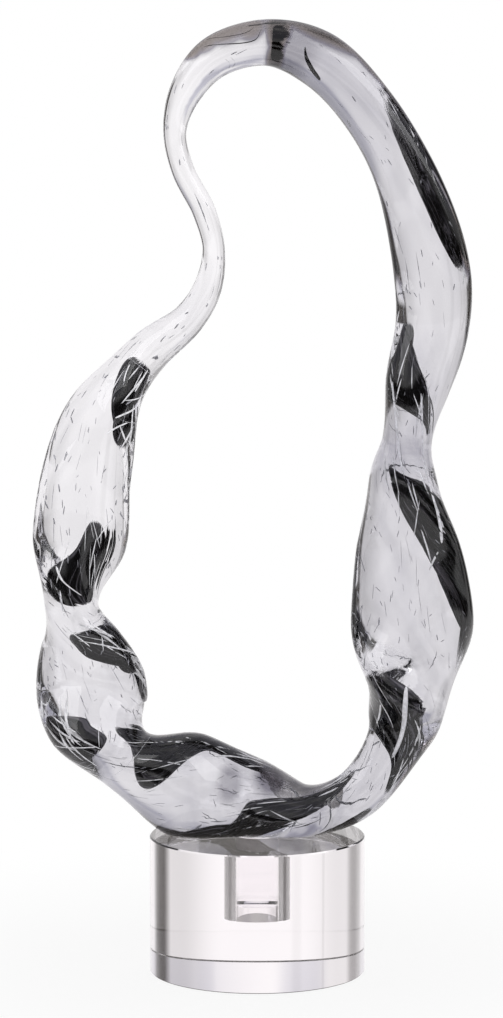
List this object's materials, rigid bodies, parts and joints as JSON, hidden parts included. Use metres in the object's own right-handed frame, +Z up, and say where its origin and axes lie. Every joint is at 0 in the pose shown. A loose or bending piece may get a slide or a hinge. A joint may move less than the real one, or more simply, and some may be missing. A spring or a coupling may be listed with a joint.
{
  "type": "glass sculpture",
  "caption": "Twisted open loop of clear glass with black streaks inside, on a round crystal base; a peg under its foot lets it turn and lift out.",
  "frame": {"origin": "centre of the base's underside", "axes": "+Z up along the base's axis, -Y towards the broad side of the loop that the picture shows, +X to the right in the picture"},
  "size_m": [0.2044, 0.1, 0.4418],
  "materials": {
    "crystal": "polished optical crystal",
    "clear_glass": "fire polished clear glass with seed bubbles",
    "black_glass": "opaque black glass"
  },
  "bodies": {
    "base": {"crystal_base": "crystal"},
    "peg": {"clear_peg": "clear_glass"},
    "loop": {"clear_casing": "clear_glass", "clear_tail": "clear_glass", "clear_core": "clear_glass", "black_streak_neck": "black_glass", "black_streak_left_upper": "black_glass", "black_streak_left_lower": "black_glass", "black_streak_corner_outer": "black_glass", "black_streak_corner_inner": "black_glass", "black_streak_foot": "black_glass", "black_streak_rise": "black_glass", "black_streak_right_lower": "black_glass", "black_streak_right_middle": "black_glass", "black_streak_right_upper": "black_glass", "black_streak_shoulder": "black_glass", "black_streak_crown": "black_glass"}
  },
  "joints": [
    {"name": "peg_lift", "type": "slide", "parent": "base", "child": "peg", "axis": [0, 0, 1], "range_m": [0, 0.04]},
    {"name": "loop_turn", "type": "hinge", "parent": "peg", "child": "loop", "pos_m": [0, 0, 0.0643], "axis": [0, 0, 1], "continuous": true}
  ]
}
